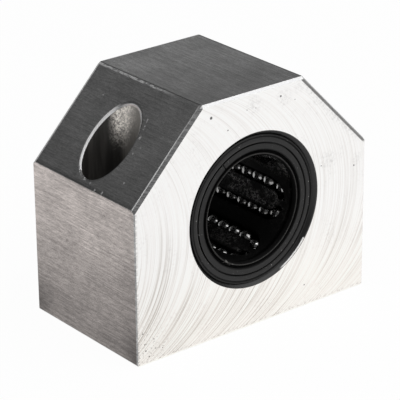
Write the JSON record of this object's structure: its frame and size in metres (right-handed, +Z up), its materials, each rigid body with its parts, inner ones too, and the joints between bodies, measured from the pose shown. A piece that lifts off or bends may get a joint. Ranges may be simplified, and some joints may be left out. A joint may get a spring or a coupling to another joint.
{
  "type": "linear bearing block",
  "caption": "Compact aluminium block that carries a closed linear ball bearing on a round shaft and bolts down through two deep head pockets in its sloping shoulders.",
  "frame": {"origin": "in the base plane, below the middle of the bearing", "axes": "+X across the block's width, +Y along the shaft from the front face to the back, +Z up from the base"},
  "size_m": [0.053, 0.03, 0.045],
  "materials": {
    "aluminium_block": "milled end faces, fine brushed sides",
    "sleeve_steel": "dark, fine turned",
    "cage_plastic": "moulded, black",
    "end_ring_steel": "dark, fine turned",
    "carrier_plastic": "moulded, dark grey",
    "seal_rubber": "smooth black",
    "ball_steel": "polished"
  },
  "bodies": {
    "block": {"housing": "aluminium_block", "outer_sleeve": "sleeve_steel", "ball_cage": "cage_plastic", "front_end_ring": "end_ring_steel", "front_seal_carrier": "carrier_plastic", "front_lip_seal": "seal_rubber", "rear_end_ring": "end_ring_steel", "rear_seal_carrier": "carrier_plastic", "rear_lip_seal": "seal_rubber"},
    "circuit_1_loaded_balls": {"circuit_1_loaded_balls": "ball_steel"},
    "circuit_1_return_balls": {"circuit_1_return_balls": "ball_steel"},
    "circuit_1_front_turn_balls": {"circuit_1_front_turn_balls": "ball_steel"},
    "circuit_1_rear_turn_balls": {"circuit_1_rear_turn_balls": "ball_steel"},
    "circuit_2_loaded_balls": {"circuit_2_loaded_balls": "ball_steel"},
    "circuit_2_return_balls": {"circuit_2_return_balls": "ball_steel"},
    "circuit_2_front_turn_balls": {"circuit_2_front_turn_balls": "ball_steel"},
    "circuit_2_rear_turn_balls": {"circuit_2_rear_turn_balls": "ball_steel"},
    "circuit_3_loaded_balls": {"circuit_3_loaded_balls": "ball_steel"},
    "circuit_3_return_balls": {"circuit_3_return_balls": "ball_steel"},
    "circuit_3_front_turn_balls": {"circuit_3_front_turn_balls": "ball_steel"},
    "circuit_3_rear_turn_balls": {"circuit_3_rear_turn_balls": "ball_steel"},
    "circuit_4_loaded_balls": {"circuit_4_loaded_balls": "ball_steel"},
    "circuit_4_return_balls": {"circuit_4_return_balls": "ball_steel"},
    "circuit_4_front_turn_balls": {"circuit_4_front_turn_balls": "ball_steel"},
    "circuit_4_rear_turn_balls": {"circuit_4_rear_turn_balls": "ball_steel"},
    "circuit_5_loaded_balls": {"circuit_5_loaded_balls": "ball_steel"},
    "circuit_5_return_balls": {"circuit_5_return_balls": "ball_steel"},
    "circuit_5_front_turn_balls": {"circuit_5_front_turn_balls": "ball_steel"},
    "circuit_5_rear_turn_balls": {"circuit_5_rear_turn_balls": "ball_steel"},
    "circuit_6_loaded_balls": {"circuit_6_loaded_balls": "ball_steel"},
    "circuit_6_return_balls": {"circuit_6_return_balls": "ball_steel"},
    "circuit_6_front_turn_balls": {"circuit_6_front_turn_balls": "ball_steel"},
    "circuit_6_rear_turn_balls": {"circuit_6_rear_turn_balls": "ball_steel"}
  },
  "joints": [
    {"name": "circuit_1_loaded_roll", "type": "slide", "parent": "block", "child": "circuit_1_loaded_balls", "axis": [0, 1, 0], "range_m": [-0.00155, 0.00155]},
    {"name": "circuit_1_return_roll", "type": "slide", "parent": "block", "child": "circuit_1_return_balls", "axis": [0, 1, 0], "range_m": [-0.0016, 0.0016]},
    {"name": "circuit_1_front_turn", "type": "hinge", "parent": "block", "child": "circuit_1_front_turn_balls", "pos_m": [0, -0.00775, 0.0225], "axis": [0.9613, 0, -0.2756], "range_deg": [-30.5, 30.5]},
    {"name": "circuit_1_rear_turn", "type": "hinge", "parent": "block", "child": "circuit_1_rear_turn_balls", "pos_m": [0, 0.00775, 0.0225], "axis": [0.9613, 0, -0.2756], "range_deg": [-30.5, 30.5]},
    {"name": "circuit_2_loaded_roll", "type": "slide", "parent": "block", "child": "circuit_2_loaded_balls", "axis": [0, 1, 0], "range_m": [-0.00155, 0.00155]},
    {"name": "circuit_2_return_roll", "type": "slide", "parent": "block", "child": "circuit_2_return_balls", "axis": [0, 1, 0], "range_m": [-0.0016, 0.0016]},
    {"name": "circuit_2_front_turn", "type": "hinge", "parent": "block", "child": "circuit_2_front_turn_balls", "pos_m": [0, -0.00775, 0.0225], "axis": [0.7193, 0, 0.6947], "range_deg": [-30.5, 30.5]},
    {"name": "circuit_2_rear_turn", "type": "hinge", "parent": "block", "child": "circuit_2_rear_turn_balls", "pos_m": [0, 0.00775, 0.0225], "axis": [0.7193, 0, 0.6947], "range_deg": [-30.5, 30.5]},
    {"name": "circuit_3_loaded_roll", "type": "slide", "parent": "block", "child": "circuit_3_loaded_balls", "axis": [0, 1, 0], "range_m": [-0.00155, 0.00155]},
    {"name": "circuit_3_return_roll", "type": "slide", "parent": "block", "child": "circuit_3_return_balls", "axis": [0, 1, 0], "range_m": [-0.0016, 0.0016]},
    {"name": "circuit_3_front_turn", "type": "hinge", "parent": "block", "child": "circuit_3_front_turn_balls", "pos_m": [0, -0.00775, 0.0225], "axis": [-0.2419, 0, 0.9703], "range_deg": [-30.5, 30.5]},
    {"name": "circuit_3_rear_turn", "type": "hinge", "parent": "block", "child": "circuit_3_rear_turn_balls", "pos_m": [0, 0.00775, 0.0225], "axis": [-0.2419, 0, 0.9703], "range_deg": [-30.5, 30.5]},
    {"name": "circuit_4_loaded_roll", "type": "slide", "parent": "block", "child": "circuit_4_loaded_balls", "axis": [0, 1, 0], "range_m": [-0.00155, 0.00155]},
    {"name": "circuit_4_return_roll", "type": "slide", "parent": "block", "child": "circuit_4_return_balls", "axis": [0, 1, 0], "range_m": [-0.0016, 0.0016]},
    {"name": "circuit_4_front_turn", "type": "hinge", "parent": "block", "child": "circuit_4_front_turn_balls", "pos_m": [0, -0.00775, 0.0225], "axis": [-0.9613, 0, 0.2756], "range_deg": [-30.5, 30.5]},
    {"name": "circuit_4_rear_turn", "type": "hinge", "parent": "block", "child": "circuit_4_rear_turn_balls", "pos_m": [0, 0.00775, 0.0225], "axis": [-0.9613, 0, 0.2756], "range_deg": [-30.5, 30.5]},
    {"name": "circuit_5_loaded_roll", "type": "slide", "parent": "block", "child": "circuit_5_loaded_balls", "axis": [0, 1, 0], "range_m": [-0.00155, 0.00155]},
    {"name": "circuit_5_return_roll", "type": "slide", "parent": "block", "child": "circuit_5_return_balls", "axis": [0, 1, 0], "range_m": [-0.0016, 0.0016]},
    {"name": "circuit_5_front_turn", "type": "hinge", "parent": "block", "child": "circuit_5_front_turn_balls", "pos_m": [0, -0.00775, 0.0225], "axis": [-0.7193, 0, -0.6947], "range_deg": [-30.5, 30.5]},
    {"name": "circuit_5_rear_turn", "type": "hinge", "parent": "block", "child": "circuit_5_rear_turn_balls", "pos_m": [0, 0.00775, 0.0225], "axis": [-0.7193, 0, -0.6947], "range_deg": [-30.5, 30.5]},
    {"name": "circuit_6_loaded_roll", "type": "slide", "parent": "block", "child": "circuit_6_loaded_balls", "axis": [0, 1, 0], "range_m": [-0.00155, 0.00155]},
    {"name": "circuit_6_return_roll", "type": "slide", "parent": "block", "child": "circuit_6_return_balls", "axis": [0, 1, 0], "range_m": [-0.0016, 0.0016]},
    {"name": "circuit_6_front_turn", "type": "hinge", "parent": "block", "child": "circuit_6_front_turn_balls", "pos_m": [0, -0.00775, 0.0225], "axis": [0.2419, 0, -0.9703], "range_deg": [-30.5, 30.5]},
    {"name": "circuit_6_rear_turn", "type": "hinge", "parent": "block", "child": "circuit_6_rear_turn_balls", "pos_m": [0, 0.00775, 0.0225], "axis": [0.2419, 0, -0.9703], "range_deg": [-30.5, 30.5]}
  ],
  "couplings": [
    {"joint": "circuit_1_return_roll", "follows": "circuit_1_loaded_roll", "ratio": -1},
    {"joint": "circuit_1_front_turn", "follows": "circuit_1_loaded_roll", "rad_per_m": -337.81},
    {"joint": "circuit_1_rear_turn", "follows": "circuit_1_loaded_roll", "rad_per_m": -337.81},
    {"joint": "circuit_2_return_roll", "follows": "circuit_2_loaded_roll", "ratio": -1},
    {"joint": "circuit_2_front_turn", "follows": "circuit_2_loaded_roll", "rad_per_m": -337.81},
    {"joint": "circuit_2_rear_turn", "follows": "circuit_2_loaded_roll", "rad_per_m": -337.81},
    {"joint": "circuit_3_return_roll", "follows": "circuit_3_loaded_roll", "ratio": -1},
    {"joint": "circuit_3_front_turn", "follows": "circuit_3_loaded_roll", "rad_per_m": -337.81},
    {"joint": "circuit_3_rear_turn", "follows": "circuit_3_loaded_roll", "rad_per_m": -337.81},
    {"joint": "circuit_4_return_roll", "follows": "circuit_4_loaded_roll", "ratio": -1},
    {"joint": "circuit_4_front_turn", "follows": "circuit_4_loaded_roll", "rad_per_m": -337.81},
    {"joint": "circuit_4_rear_turn", "follows": "circuit_4_loaded_roll", "rad_per_m": -337.81},
    {"joint": "circuit_5_return_roll", "follows": "circuit_5_loaded_roll", "ratio": -1},
    {"joint": "circuit_5_front_turn", "follows": "circuit_5_loaded_roll", "rad_per_m": -337.81},
    {"joint": "circuit_5_rear_turn", "follows": "circuit_5_loaded_roll", "rad_per_m": -337.81},
    {"joint": "circuit_6_return_roll", "follows": "circuit_6_loaded_roll", "ratio": -1},
    {"joint": "circuit_6_front_turn", "follows": "circuit_6_loaded_roll", "rad_per_m": -337.81},
    {"joint": "circuit_6_rear_turn", "follows": "circuit_6_loaded_roll", "rad_per_m": -337.81}
  ]
}
